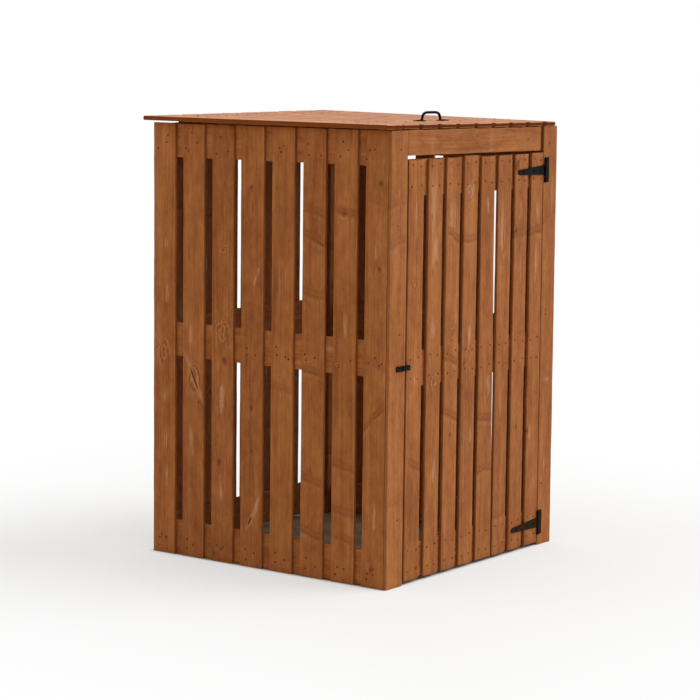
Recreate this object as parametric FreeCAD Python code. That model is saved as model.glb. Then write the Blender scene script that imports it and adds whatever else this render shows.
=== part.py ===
"""Slatted timber wheelie bin store with a front door, a lifting lid and black ironmongery.

Millimetres, +Z up, and the front faces -Y. The pieces are drawn with X = 0 at the left panel's
outer face, Y = 0 at the front face of the posts and Z = 0 on the ground, left and right being as
seen from the front. They are moved at the end, so that the origin is the bottom centre.
"""
import FreeCAD
import Part
import math
import os

Vector = FreeCAD.Vector
X_AXIS = Vector(1, 0, 0)
Y_AXIS = Vector(0, 1, 0)
Z_AXIS = Vector(0, 0, 1)

# Overall carcass
width = 812.0
depth = 804.0
height = 1200.0

# Timber sections
board_w = 74.0
board_t = 10.0
rail_w = 96.0
rail_t = 12.0
top_rail_w = 92.0
corner_size = 44.0

# Side panels, counted from the front
side_board_count = 8
side_first_w = 71.0
side_first_gap = 27.0
side_last_w = 77.0
middle_rail_z = 557.0

# Back panel, which stands a little off the ground between the side panels
back_board_count = 7
back_lift = 6.0
back_first_gap = 20.0
back_last_lap = 8.0
back_middle_extra = 8.0

# Front frame
post_left_w = 73.0
post_right_w = 68.0
front_rail_w = 66.0
front_rail_short = 21.0

# Door, whose boards are counted from the left
door_board_count = 8
door_board_w = 65.0
door_first_w = 68.0
door_first_gap = 24.0
door_last_w = 60.0
door_side_gap = 8.0
door_hinge_gap = 4.0
door_top_gap = 8.0
door_ground_gap = 9.0
ledge_inset = 4.0
ledge_drop = 2.0
ledge_lift = 1.0
ledge_middle_z = 524.0

# Lid
lid_t = 10.0
lid_left_over = 28.0
lid_right_short = 14.0
lid_front_over = 4.0
lid_back_over = 18.0
lid_joint = 1.0
lid_board_gap = 13.3
lid_front_seat = 2.5
lid_rise_at_back = 12.9
lid_batten_clear = 4.0
lid_batten_back_clear = 30.0

# Hinges
hinge_on_post = 2.5
barrel_r = 3.5
pin_r = 1.9
pin_clear = 0.05
knuckle_gap = 0.3
face_gap = 0.3
web_lap = 1.0
hinge_plate_t = 2.5
hinge_plate_w = 17.0
hinge_plate_h = 70.0
hinge_plate_corner_r = 3.0
strap_root_h = 28.0
strap_tip_r = 7.0
strap_length = 140.0
strap_droop = 3.5
upper_hinge_drop = 49.0
lower_hinge_lift = 58.0
lid_leaf_t = 2.0
lid_leaf_w = 56.0
lid_leaf_length = 40.0
lid_leaf_drop = 46.0
lid_knuckle_w = 24.0
lid_hinge_board_numbers = (2, 6)

# Lid handle
bow_w = 88.0
bow_rise = 27.0
bow_bar_t = 6.0
bow_bar_w = 10.0
bow_edge_r = 2.4
bow_corner_r = 20.0
foot_length = 35.0
foot_w = 16.0
foot_t = 2.5
handle_back = 157.0

# Turn button
button_length = 61.0
button_h = 14.0
button_t = 3.0
button_corner_r = 2.6
button_z = 581.0
button_pivot_in = 11.0
button_screw_r = 2.0
button_head_r = 4.5
button_head_t = 1.8

# Nails and screws
nail_head_r = 2.6
nail_head_t = 1.0
nail_proud = 0.2
nail_shank_r = 1.2
nail_length = 20.0
nail_wander = 3.0
post_nail_lift = 180.0
post_nail_middle_z = 668.0
post_nail_drop = 50.0
front_rail_nail_count = 5
screw_head_r = 4.0
screw_head_t = 1.4
screw_shank_r = 1.8
screw_length = 20.0
lid_leaf_screw_length = 10.0
plate_screw_spread = 26.0
leaf_screw_spread = 18.0
back_leaf_screw_drop = 28.0
lid_leaf_screw_reach = 22.0
foot_screw_reach = (6.0, 16.5)

# Where a board's nails go on each rail, from the middle of the crossing, as shares of the crossing
side_nail_spots = ((-0.28, 0.22), (0.26, -0.02), (-0.2, -0.26))
back_nail_spots = ((-0.25, -0.08), (0.25, -0.32))
door_nail_spots = ((-0.28, 0.32), (0.28, 0.32), (-0.28, -0.24), (0.28, -0.24))
lid_nail_spots = ((-0.2, -0.38), (0.2, 0.38))

# Each strap screw's door board, counted back from the hinge, and its place across that board
strap_screw_spots = ((1, 0.72), (1, 0.2), (2, 0.62))

# Values that follow from the sizes above
side_t = board_t + rail_t
panel_rails = (
    ("bottom", 0.0, rail_w),
    ("middle", middle_rail_z, rail_w),
    ("top", height - top_rail_w, top_rail_w),
)
corner_left_x = side_t
corner_right_x = width - side_t - corner_size
back_face_y = depth - board_t
back_first_x = corner_left_x + corner_size + back_first_gap
back_pitch = (corner_right_x + back_last_lap - board_w - back_first_x) / (back_board_count - 1)
post_right_x = width - post_right_w
door_left = post_left_w + door_side_gap
door_right = post_right_x - door_hinge_gap
door_top = height - front_rail_w - door_top_gap
ledge_top_z = door_top - ledge_drop - rail_w
ledges = (("bottom", door_ground_gap + ledge_lift), ("middle", ledge_middle_z), ("top", ledge_top_z))
hinge_x = post_right_x + hinge_on_post
hinge_y = -barrel_r - face_gap
hinge_knuckle_h = (hinge_plate_h - strap_root_h) / 2 - knuckle_gap
hinge_heights = (("upper", door_top - upper_hinge_drop), ("lower", door_ground_gap + lower_hinge_lift))
lid_left = -lid_left_over
lid_right = width - lid_right_short
lid_back = depth + lid_back_over
lid_seat_z = height + lid_front_seat
lid_tilt = math.degrees(math.atan2(lid_rise_at_back - lid_front_seat, depth))
lid_sin = math.sin(math.radians(lid_tilt))
lid_cos = math.cos(math.radians(lid_tilt))
lid_barrel_y = (depth + barrel_r - barrel_r * lid_sin) / lid_cos
lid_hinge_y = depth + barrel_r
lid_hinge_z = lid_seat_z + lid_barrel_y * lid_sin - barrel_r * lid_cos
batten_left = side_t + lid_batten_clear
batten_right = width - side_t - lid_batten_clear
batten_back_y = lid_barrel_y - lid_leaf_length - lid_batten_back_clear - board_w
handle_x = width / 2
button_x = post_left_w - button_pivot_in
button_y = -face_gap - button_t
origin = Vector((lid_left + width) / 2, (lid_back * lid_cos + hinge_y - barrel_r) / 2, 0)


def box(x0, x1, y0, y1, z0, z1):
    return Part.makeBox(x1 - x0, y1 - y0, z1 - z0, Vector(x0, y0, z0))


def rod(radius, start, direction, length):
    return Part.makeCylinder(radius, length, start, direction)


def board_row(low, high, count, first_w, first_gap, w, last_w):
    """The (start, end) of each board: a first one, evenly spaced ones, and a last that ends at high."""
    second = low + first_w + first_gap
    pitch = (high - last_w - second) / (count - 2)
    middle = [(second + i * pitch, second + i * pitch + w) for i in range(count - 2)]
    return [(low, low + first_w)] + middle + [(high - last_w, high)]


def side_board_row():
    return board_row(board_t, depth, side_board_count, side_first_w, side_first_gap, board_w, side_last_w)


def door_board_row():
    return board_row(
        door_left, door_right, door_board_count, door_first_w, door_first_gap, door_board_w, door_last_w
    )


def wander(index, phase):
    """A small uneven offset, so that hand-driven nails don't stand in perfect rows."""
    return nail_wander * math.sin(2.4 * index + phase)


def crossing_spots(pattern, first, u0, u1, v0, v1):
    """The (u, v) places of one pattern of nails on the crossing between u0, u1 and v0, v1."""
    spots = []
    for j, (across, up) in enumerate(pattern):
        u = (u0 + u1) / 2 + (u1 - u0) * across + wander(first + j, 0)
        v = (v0 + v1) / 2 + (v1 - v0) * up + wander(first + j, 1)
        spots.append((u, v))
    return spots


def nail(face, into, length=nail_length):
    """A driven nail: face is the point on the board's face, and into points into the timber."""
    sunk = nail_head_t - nail_proud
    head = rod(nail_head_r, face - into * nail_proud, into, nail_head_t)
    shank = rod(nail_shank_r, face + into * sunk, into, length - sunk)
    return head.fuse(shank)


def screw(face, into, length=screw_length, shank_r=screw_shank_r, head_r=screw_head_r, head_t=screw_head_t):
    """A pan-head screw: its head sits on face, and its shank runs along into."""
    head = rod(head_r, face - into * head_t, into, head_t)
    return head.fuse(rod(shank_r, face, into, length))


def on_lid(shape):
    """Tilts a piece drawn on a level lid, whose underside is Z = 0, to the lid's own slope."""
    moved = shape.copy()
    moved.rotate(Vector(0, 0, 0), X_AXIS, lid_tilt)
    moved.translate(Vector(0, 0, lid_seat_z))
    return moved


def side_panel(side, outer_x, inward):
    """Eight upright boards on three rails; inward is +1 for the left panel and -1 for the right."""
    board_x = sorted((outer_x, outer_x + inward * board_t))
    rail_x = sorted((outer_x + inward * board_t, outer_x + inward * side_t))
    boards = []
    nails = []
    for i, (y0, y1) in enumerate(side_board_row()):
        boards.append(box(board_x[0], board_x[1], y0, y1, 0, height))
        for k, (_, z, w) in enumerate(panel_rails):
            first = (i * len(panel_rails) + k) * len(side_nail_spots)
            for u, v in crossing_spots(side_nail_spots, first, y0, y1, z, z + w):
                nails.append(nail(Vector(outer_x, u, v), X_AXIS * inward))
    rails = {}
    for name, z, w in panel_rails:
        rails[side + "_rail_" + name] = box(rail_x[0], rail_x[1], board_t, depth, z, z + w)
    return boards, rails, nails


def back_panel():
    boards = []
    nails = []
    for i in range(back_board_count):
        x = back_first_x + i * back_pitch
        boards.append(box(x, x + board_w, back_face_y, depth, back_lift, height))
        for k, (_, z, w) in enumerate(panel_rails):
            first = (i * len(panel_rails) + k) * len(back_nail_spots)
            for u, v in crossing_spots(back_nail_spots, first, x, x + board_w, z, z + w):
                nails.append(nail(Vector(u, depth, v), -Y_AXIS))
    rails = {}
    for name, z, w in panel_rails:
        high = z + w if name == "top" else z + w + back_lift
        low = high - w - back_middle_extra if name == "middle" else high - w
        rails["back_rail_" + name] = box(
            corner_left_x + corner_size, corner_right_x, back_face_y - rail_t, back_face_y, low, high
        )
    return boards, rails, nails


def corner_battens():
    front_y = board_t
    back_y = back_face_y - corner_size
    places = {
        "corner_batten_front_left": (corner_left_x, front_y),
        "corner_batten_front_right": (corner_right_x, front_y),
        "corner_batten_back_left": (corner_left_x, back_y),
        "corner_batten_back_right": (corner_right_x, back_y),
    }
    return {name: box(x, x + corner_size, y, y + corner_size, 0, height) for name, (x, y) in places.items()}


def front_frame():
    """The two posts, the rail over the door and the batten behind that rail."""
    rail_z = height - front_rail_w
    rail_end = post_right_x - front_rail_short
    pieces = {
        "front_post_left": box(0, post_left_w, 0, board_t, 0, height),
        "front_post_right": box(post_right_x, width, 0, board_t, 0, height),
        "front_rail": box(post_left_w, rail_end, 0, board_t, rail_z, height),
        "head_batten": box(
            corner_left_x + corner_size, corner_right_x, board_t, board_t + rail_t, rail_z, height
        ),
    }
    nails = []
    post_nail_x = (corner_left_x + corner_size / 2, corner_right_x + corner_size / 2)
    for k, z in enumerate((post_nail_lift, post_nail_middle_z, height - post_nail_drop)):
        for j, x in enumerate(post_nail_x):
            n = 2 * k + j
            nails.append(nail(Vector(x + wander(n, 2), 0, z + wander(n, 3)), Y_AXIS, nail_length + board_t))
    for i in range(front_rail_nail_count):
        x = post_left_w + (rail_end - post_left_w) * (i + 0.5) / front_rail_nail_count
        nails.append(nail(Vector(x, 0, rail_z + front_rail_w / 2 + 2 * wander(i, 0)), Y_AXIS))
    return pieces, nails


def door():
    """Eight boards nailed to three ledges."""
    pieces = {}
    nails = []
    for i, (x0, x1) in enumerate(door_board_row()):
        pieces["door_board_%d" % (i + 1)] = box(x0, x1, 0, board_t, door_ground_gap, door_top)
        for k, (_, z) in enumerate(ledges):
            first = (i * len(ledges) + k) * len(door_nail_spots)
            for u, v in crossing_spots(door_nail_spots, first, x0, x1, z, z + rail_w):
                nails.append(nail(Vector(u, 0, v), Y_AXIS))
    for name, z in ledges:
        pieces["door_ledge_" + name] = box(
            door_left + ledge_inset, door_right - ledge_inset, board_t, board_t + rail_t, z, z + rail_w
        )
    return pieces, nails


def hinge_plate(z):
    """The upright half of a T-hinge, with its two knuckles, on the right post."""
    flat_x = hinge_x + barrel_r + knuckle_gap
    far_x = flat_x + hinge_plate_w
    half = hinge_plate_h / 2
    shape = box(flat_x, far_x, -hinge_plate_t, 0, z - half, z + half)
    across = [e for e in shape.Edges if e.BoundBox.YLength > hinge_plate_t / 2]
    shape = shape.makeFillet(hinge_plate_corner_r, [e for e in across if e.BoundBox.XMin > far_x - 0.01])
    inner = strap_root_h / 2 + knuckle_gap
    for low in (z + inner, z - inner - hinge_knuckle_h):
        high = low + hinge_knuckle_h
        shape = shape.fuse(rod(barrel_r, Vector(hinge_x, hinge_y, low), Z_AXIS, hinge_knuckle_h))
        shape = shape.fuse(box(hinge_x, flat_x + web_lap, -hinge_plate_t, -face_gap, low, high))
    bore = rod(pin_r + pin_clear, Vector(hinge_x, hinge_y, z - half), Z_AXIS, hinge_plate_h)
    return shape.cut(bore).removeSplitter()


def hinge_strap(z):
    """The long half of a T-hinge, with its knuckle, on the door. It tapers, and its tip hangs a little."""
    root_x = hinge_x - barrel_r - knuckle_gap
    tip_x = hinge_x - strap_length + strap_tip_r
    tip_z = z - strap_droop
    half = strap_root_h / 2
    root_top = Vector(root_x, 0, z + half)
    root_low = Vector(root_x, 0, z - half)
    tip_top = Vector(tip_x, 0, tip_z + strap_tip_r)
    tip_low = Vector(tip_x, 0, tip_z - strap_tip_r)
    tip_end = Vector(tip_x - strap_tip_r, 0, tip_z)
    outline = Part.Wire([
        Part.LineSegment(root_low, root_top).toShape(),
        Part.LineSegment(root_top, tip_top).toShape(),
        Part.Arc(tip_top, tip_end, tip_low).toShape(),
        Part.LineSegment(tip_low, root_low).toShape(),
    ])
    flat = Part.Face(outline).extrude(Vector(0, -hinge_plate_t, 0))
    knuckle = rod(barrel_r, Vector(hinge_x, hinge_y, z - half), Z_AXIS, strap_root_h)
    web = box(root_x - web_lap, hinge_x, -hinge_plate_t, -face_gap, z - half, z + half)
    bore = rod(pin_r + pin_clear, Vector(hinge_x, hinge_y, z - half), Z_AXIS, strap_root_h)
    return flat.fuse(knuckle).fuse(web).cut(bore).removeSplitter()


def door_hinges():
    frame_pieces = {}
    door_pieces = {}
    pins = []
    frame_screws = []
    door_screws = []
    plate_x = hinge_x + barrel_r + knuckle_gap + hinge_plate_w / 2
    row = door_board_row()
    pin_half = strap_root_h / 2 + knuckle_gap + hinge_knuckle_h
    for name, z in hinge_heights:
        frame_pieces["door_hinge_plate_" + name] = hinge_plate(z)
        door_pieces["door_hinge_strap_" + name] = hinge_strap(z)
        pins.append(rod(pin_r, Vector(hinge_x, hinge_y, z - pin_half), Z_AXIS, 2 * pin_half))
        for up in (-plate_screw_spread, 0, plate_screw_spread):
            frame_screws.append(screw(Vector(plate_x, -hinge_plate_t, z + up), Y_AXIS))
        for back, across in strap_screw_spots:
            x0, x1 = row[-back]
            x = x0 + (x1 - x0) * across
            drop = strap_droop * (hinge_x - x) / strap_length
            door_screws.append(screw(Vector(x, -hinge_plate_t, z - drop), Y_AXIS))
    return frame_pieces, door_pieces, pins, frame_screws, door_screws


def lid_board_spans():
    """The lid's boards: the first two are tight, the others are spaced, and the last is ripped to fit."""
    spans = []
    x = lid_left
    while x < lid_right:
        spans.append((x, min(x + board_w, lid_right)))
        x += board_w + (lid_joint if len(spans) == 1 else lid_board_gap)
    return spans


def lid():
    """Boards that run front to back on two battens, drawn level and then tilted."""
    battens = {
        "lid_batten_front": (handle_back - board_w / 2, handle_back + board_w / 2),
        "lid_batten_back": (batten_back_y, batten_back_y + board_w),
    }
    boards = []
    nails = []
    for i, (x0, x1) in enumerate(lid_board_spans()):
        boards.append(on_lid(box(x0, x1, -lid_front_over, lid_back, 0, lid_t)))
        inside = max(x0, batten_left), min(x1, batten_right)
        if inside[1] - inside[0] < board_w / 5:
            continue
        for k, (y0, y1) in enumerate(battens.values()):
            first = (i * len(battens) + k) * len(lid_nail_spots)
            for u, v in crossing_spots(lid_nail_spots, first, inside[0], inside[1], y0, y1):
                nails.append(on_lid(nail(Vector(u, v, lid_t), -Z_AXIS)))
    pieces = {}
    for name, (y0, y1) in battens.items():
        pieces[name] = on_lid(box(batten_left, batten_right, y0, y1, -rail_t, 0))
    return boards, pieces, nails


def lid_handle():
    """A bow handle: a rounded bar on two feet, drawn level and then tilted."""
    outer = bow_w / 2
    inner = outer - bow_bar_t
    flat = outer - bow_corner_r
    low = lid_t
    shoulder = low + bow_rise - bow_corner_r
    top = low + bow_rise
    inner_r = bow_corner_r - bow_bar_t
    turn = math.sqrt(0.5)

    def point(x, z):
        return Vector(handle_x + x, handle_back - bow_bar_w / 2, z)

    def corner(sign, radius):
        start = point(sign * (flat + radius), shoulder)
        middle = point(sign * (flat + radius * turn), shoulder + radius * turn)
        end = point(sign * flat, shoulder + radius)
        return Part.Arc(start, middle, end).toShape()

    outline = Part.Wire(Part.__sortEdges__([
        Part.LineSegment(point(-outer, low), point(-outer, shoulder)).toShape(),
        corner(-1, bow_corner_r),
        Part.LineSegment(point(-flat, top), point(flat, top)).toShape(),
        corner(1, bow_corner_r),
        Part.LineSegment(point(outer, shoulder), point(outer, low)).toShape(),
        Part.LineSegment(point(outer, low), point(inner, low)).toShape(),
        Part.LineSegment(point(inner, low), point(inner, shoulder)).toShape(),
        corner(1, inner_r),
        Part.LineSegment(point(flat, top - bow_bar_t), point(-flat, top - bow_bar_t)).toShape(),
        corner(-1, inner_r),
        Part.LineSegment(point(-inner, shoulder), point(-inner, low)).toShape(),
        Part.LineSegment(point(-inner, low), point(-outer, low)).toShape(),
    ]))
    bar = Part.Face(outline).extrude(Vector(0, bow_bar_w, 0))
    faces_y = (handle_back - bow_bar_w / 2, handle_back + bow_bar_w / 2)
    long_edges = [
        e for e in bar.Edges
        if any(abs(e.BoundBox.YMin - y) < 0.01 and abs(e.BoundBox.YMax - y) < 0.01 for y in faces_y)
        and e.BoundBox.ZMax > low + foot_t
    ]
    shape = bar.makeFillet(bow_edge_r, long_edges)
    screws = []
    for sign in (-1, 1):
        x = sorted((handle_x + sign * inner, handle_x + sign * (outer + foot_length - foot_w / 2)))
        foot = box(x[0], x[1], handle_back - foot_w / 2, handle_back + foot_w / 2, low, low + foot_t)
        end_x = handle_x + sign * (outer + foot_length - foot_w / 2)
        foot = foot.fuse(rod(foot_w / 2, Vector(end_x, handle_back, low), Z_AXIS, foot_t))
        shape = shape.fuse(foot)
        for reach in foot_screw_reach:
            at = Vector(handle_x + sign * (outer + reach), handle_back, low + foot_t)
            screws.append(screw(at, -Z_AXIS, screw_length))
    return on_lid(shape.removeSplitter()), [on_lid(s) for s in screws]


def lid_hinges():
    """Two butt hinges: one leaf down the back of a back board, the other forward under the lid."""
    back_leaves = []
    lid_leaves = []
    pins = []
    frame_screws = []
    lid_screws = []
    for board in lid_hinge_board_numbers:
        x = back_first_x + (board - 1) * back_pitch + board_w / 2
        x0 = x - lid_leaf_w / 2
        x1 = x + lid_leaf_w / 2
        k0 = x - lid_knuckle_w / 2
        k1 = x + lid_knuckle_w / 2
        centre = Vector(x0, lid_hinge_y, lid_hinge_z)
        reach = barrel_r + knuckle_gap
        leaf_back = depth + lid_leaf_t
        back = box(x0, x1, depth, leaf_back, lid_hinge_z - lid_leaf_drop, lid_hinge_z - reach)
        for a, b in ((x0, k0 - knuckle_gap), (k1 + knuckle_gap, x1)):
            back = back.fuse(rod(barrel_r, Vector(a, centre.y, centre.z), X_AXIS, b - a))
            back = back.fuse(box(a, b, depth, leaf_back, lid_hinge_z - reach - web_lap, lid_hinge_z))
        bore = rod(pin_r + pin_clear, centre, X_AXIS, lid_leaf_w)
        back_leaves.append(back.cut(bore).removeSplitter())
        level_y = lid_barrel_y
        leaf = box(x0, x1, level_y - lid_leaf_length, level_y - reach, -lid_leaf_t, 0)
        leaf = leaf.fuse(box(k0, k1, level_y - reach - web_lap, level_y, -lid_leaf_t, 0))
        leaf = leaf.fuse(rod(barrel_r, Vector(k0, level_y, -barrel_r), X_AXIS, k1 - k0))
        leaf = leaf.cut(rod(pin_r + pin_clear, Vector(x0, level_y, -barrel_r), X_AXIS, lid_leaf_w))
        lid_leaves.append(on_lid(leaf.removeSplitter()))
        pins.append(rod(pin_r, centre, X_AXIS, lid_leaf_w))
        for across in (-leaf_screw_spread, leaf_screw_spread):
            at = Vector(x + across, leaf_back, lid_hinge_z - back_leaf_screw_drop)
            frame_screws.append(screw(at, -Y_AXIS))
            under = Vector(x + across, level_y - lid_leaf_screw_reach, -lid_leaf_t)
            lid_screws.append(on_lid(screw(under, Z_AXIS, lid_leaf_screw_length)))
    return back_leaves, lid_leaves, pins, frame_screws, lid_screws


def turn_button():
    """A flat catch that pivots on a screw in the left post and reaches over the door's edge."""
    plate = box(
        button_x - button_length / 2, button_x + button_length / 2,
        button_y, button_y + button_t, button_z - button_h / 2, button_z + button_h / 2,
    )
    upright = [e for e in plate.Edges if e.BoundBox.YLength > button_t / 2]
    plate = plate.makeFillet(button_corner_r, upright)
    hole = rod(button_screw_r + pin_clear, Vector(button_x, button_y, button_z), Y_AXIS, button_t)
    head_face = Vector(button_x, button_y - face_gap, button_z)
    pivot = screw(head_face, Y_AXIS, screw_length, button_screw_r, button_head_r, button_head_t)
    return plate.cut(hole), pivot


def drill(pieces, fixings):
    """Cuts each fixing's own hole out of every piece that it passes through."""
    for name, shape in pieces.items():
        near = [f for f in fixings if f.BoundBox.intersect(shape.BoundBox)]
        if near:
            pieces[name] = shape.cut(near)


def build():
    left_boards, left_rails, left_nails = side_panel("left", 0.0, 1)
    right_boards, right_rails, right_nails = side_panel("right", width, -1)
    back_boards, back_rails, back_nails = back_panel()
    frame_pieces, front_nails = front_frame()
    hinge_plates, hinge_straps, door_pins, plate_screws, door_screws = door_hinges()
    back_leaves, lid_leaves, lid_pins, back_leaf_screws, leaf_screws = lid_hinges()
    button, button_screw = turn_button()
    door_pieces, door_nails = door()
    lid_boards, lid_pieces, lid_nails = lid()
    handle, handle_screws = lid_handle()

    frame = {"left_board_%d" % (i + 1): shape for i, shape in enumerate(left_boards)}
    frame.update(left_rails)
    frame["right_boards"] = Part.makeCompound(right_boards)
    frame.update(right_rails)
    frame["back_boards"] = Part.makeCompound(back_boards)
    frame.update(back_rails)
    frame.update(corner_battens())
    frame.update(frame_pieces)
    frame.update(hinge_plates)
    frame["lid_hinge_back_leaves"] = Part.makeCompound(back_leaves)
    frame_screws = plate_screws + back_leaf_screws + [button_screw]
    drill(frame, left_nails + right_nails + back_nails + front_nails + frame_screws)

    door_pieces.update(hinge_straps)
    drill(door_pieces, door_nails + door_screws)

    lid_pieces["lid_boards"] = Part.makeCompound(lid_boards)
    lid_pieces["lid_handle"] = handle
    lid_pieces["lid_hinge_leaves"] = Part.makeCompound(lid_leaves)
    lid_screws = handle_screws + leaf_screws
    drill(lid_pieces, lid_nails + lid_screws)

    parts = {**frame, **door_pieces, **lid_pieces, "turn_button": button}
    groups = {
        "side_nails": left_nails + right_nails,
        "back_nails": back_nails,
        "front_nails": front_nails,
        "door_nails": door_nails,
        "lid_nails": lid_nails,
        "frame_screws": frame_screws,
        "door_screws": door_screws,
        "lid_screws": lid_screws,
        "door_hinge_pins": door_pins,
        "lid_hinge_pins": lid_pins,
    }
    parts.update({name: Part.makeCompound(solids) for name, solids in groups.items()})
    return parts


def main():
    os.makedirs("parts", exist_ok=True)
    parts = build()
    for name, shape in sorted(parts.items()):
        moved = shape.copy()
        moved.translate(-origin)
        moved.exportStep(os.path.join("parts", name + ".step"))
    print(len(parts), "nodes")


main()
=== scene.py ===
"""Finishes the slatted bin store: sawn and stained boards, driven nails and black ironmongery.

The script is laid out as an add-on. Each operator makes one group of pieces on the fixed frame,
in metres, and main() calls them in order and then sets the stage.
"""
import functools
import math
import random

import bmesh
import bpy
from mathutils import Matrix, Vector, geometry, noise


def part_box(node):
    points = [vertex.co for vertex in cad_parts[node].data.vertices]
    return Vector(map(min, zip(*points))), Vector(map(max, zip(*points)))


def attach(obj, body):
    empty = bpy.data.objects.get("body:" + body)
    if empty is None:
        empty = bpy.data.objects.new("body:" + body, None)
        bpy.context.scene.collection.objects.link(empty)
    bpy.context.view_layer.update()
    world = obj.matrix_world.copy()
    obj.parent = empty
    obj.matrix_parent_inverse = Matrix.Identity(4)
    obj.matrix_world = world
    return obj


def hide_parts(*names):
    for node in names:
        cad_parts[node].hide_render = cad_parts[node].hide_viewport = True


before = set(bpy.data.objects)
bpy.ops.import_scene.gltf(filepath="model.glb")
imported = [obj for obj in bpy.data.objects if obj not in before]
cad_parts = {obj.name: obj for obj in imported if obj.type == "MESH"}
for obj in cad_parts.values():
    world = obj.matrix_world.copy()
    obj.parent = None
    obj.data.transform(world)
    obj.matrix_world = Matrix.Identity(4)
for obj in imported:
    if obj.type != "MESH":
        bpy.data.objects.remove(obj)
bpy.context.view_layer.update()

bl_info = {
    "name": "Slatted Bin Store",
    "version": (1, 0, 0),
    "blender": (4, 5, 0),
    "location": "3D View > Sidebar > Bin Store",
    "description": "Sawn boards, nails and black ironmongery for a slatted bin store",
    "category": "Object",
}

MM = 0.001
AXES = (Vector((1, 0, 0)), Vector((0, 1, 0)), Vector((0, 0, 1)))
ALONG_X, ALONG_Y, UPRIGHT = range(3)
CARCASS_CORNER = Vector(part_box("front_post_left")[0])


# Settings

def colour_setting(name, description, default):
    return bpy.props.FloatVectorProperty(
        name=name, description=description, subtype="COLOR", size=3, min=0, max=1, default=default)


def length_setting(name, description, default):
    return bpy.props.FloatProperty(
        name=name, description=description, subtype="DISTANCE", unit="LENGTH", default=default, min=0)


def angle_setting(name, description, degrees):
    return bpy.props.FloatProperty(
        name=name, description=description, subtype="ANGLE", default=math.radians(degrees))


class TimberSettings(bpy.types.PropertyGroup):
    """The stain on the boards and the unevenness of sawn timber."""

    stain: colour_setting("Stain", "Stain on most of a board", (0.335, 0.116, 0.0275))
    stain_deep: colour_setting("Deep stain", "Stain where the grain drank more of it", (0.222, 0.064, 0.0125))
    # Colour of worn timber, also used for the painted highlight on the arrises
    worn_and_highlight: colour_setting("Worn", "Timber where the stain has rubbed thin", (0.47, 0.24, 0.125))
    knot: colour_setting("Knot", "Heart of a knot", (0.13, 0.034, 0.008))
    split: colour_setting("Split", "Bottom of a split or a seam", (0.035, 0.011, 0.004))
    station: length_setting("Station", "Length of board between two sections of its mesh", 16 * MM)
    edge_wave: length_setting("Edge wave", "How far a sawn edge wanders", 0.8 * MM)
    strip: length_setting("Strip", "Width of the strips of a board's face in its mesh", 8 * MM)
    face_wave: length_setting("Face wave", "How far a sawn face wanders", 0.3 * MM)


class IronSettings(bpy.types.PropertyGroup):
    """The black paint on the hinges, handle and turn button, and the nails."""

    paint: colour_setting("Paint", "Black paint on the ironmongery", (0.002, 0.002, 0.0022))
    dust: colour_setting("Dust", "Brown dust on the paint near the ground", (0.026, 0.011, 0.0035))
    nail: colour_setting("Nail", "Nail heads that the stain has covered", (0.07, 0.024, 0.01))
    roughness: bpy.props.FloatProperty(
        name="Roughness", description="Roughness of the black paint", subtype="FACTOR",
        default=0.5, min=0, max=1)
    nail_radius: length_setting("Nail radius", "Radius of a nail's head", 2.9 * MM)


class StageSettings(bpy.types.PropertyGroup):
    """The pale floor, the soft lamp and the camera."""

    camera_place: bpy.props.FloatVectorProperty(
        name="Camera place", description="Where the camera stands", subtype="TRANSLATION",
        unit="LENGTH", size=3, default=(-5.2643, -3.8440, 1.3801))
    azimuth: angle_setting("Azimuth", "Camera's turn from looking straight at the door", 53.828)
    elevation: angle_setting("Elevation", "How far the camera looks down", 7.130)
    roll: angle_setting("Roll", "Camera's lean", 0.654)
    lens: bpy.props.FloatProperty(
        name="Lens", description="Focal length on a 36 mm sensor, in millimetres",
        default=119.57, min=20, max=300)
    floor: colour_setting("Floor", "Colour of the floor", (0.8, 0.79, 0.78))
    # Painted shade: the colour of the floor under the store, darker as its shadow
    shaded_floor: colour_setting("Floor below", "Colour of the floor under the store", (0.40, 0.32, 0.22))
    sky: bpy.props.FloatProperty(
        name="Sky", description="Strength of the even light from all round", default=0.84, min=0, max=2)
    key_strength: bpy.props.FloatProperty(
        name="Key light", description="Strength of the broad soft light in front", default=1.8, min=0, max=10)
    key_angle: angle_setting("Key size", "Width of the soft light as seen from the store", 50)
    key_turn: bpy.props.FloatVectorProperty(
        name="Key direction", description="Direction that the soft light comes from", subtype="DIRECTION",
        size=3, default=(0.55, -0.65, 0.52))


# Shader expressions

class Value:
    """A number, vector or colour on its way through a material's nodes."""

    def __init__(self, graph, socket):
        self.graph = graph
        self.socket = socket

    def __add__(self, other):
        return self.graph.maths("ADD", self, other)

    def __radd__(self, other):
        return self.graph.maths("ADD", other, self)

    def __sub__(self, other):
        return self.graph.maths("SUBTRACT", self, other)

    def __rsub__(self, other):
        return self.graph.maths("SUBTRACT", other, self)

    def __mul__(self, other):
        return self.graph.maths("MULTIPLY", self, other)

    def __rmul__(self, other):
        return self.graph.maths("MULTIPLY", other, self)

    def __abs__(self):
        return self.graph.maths("ABSOLUTE", self)


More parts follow.
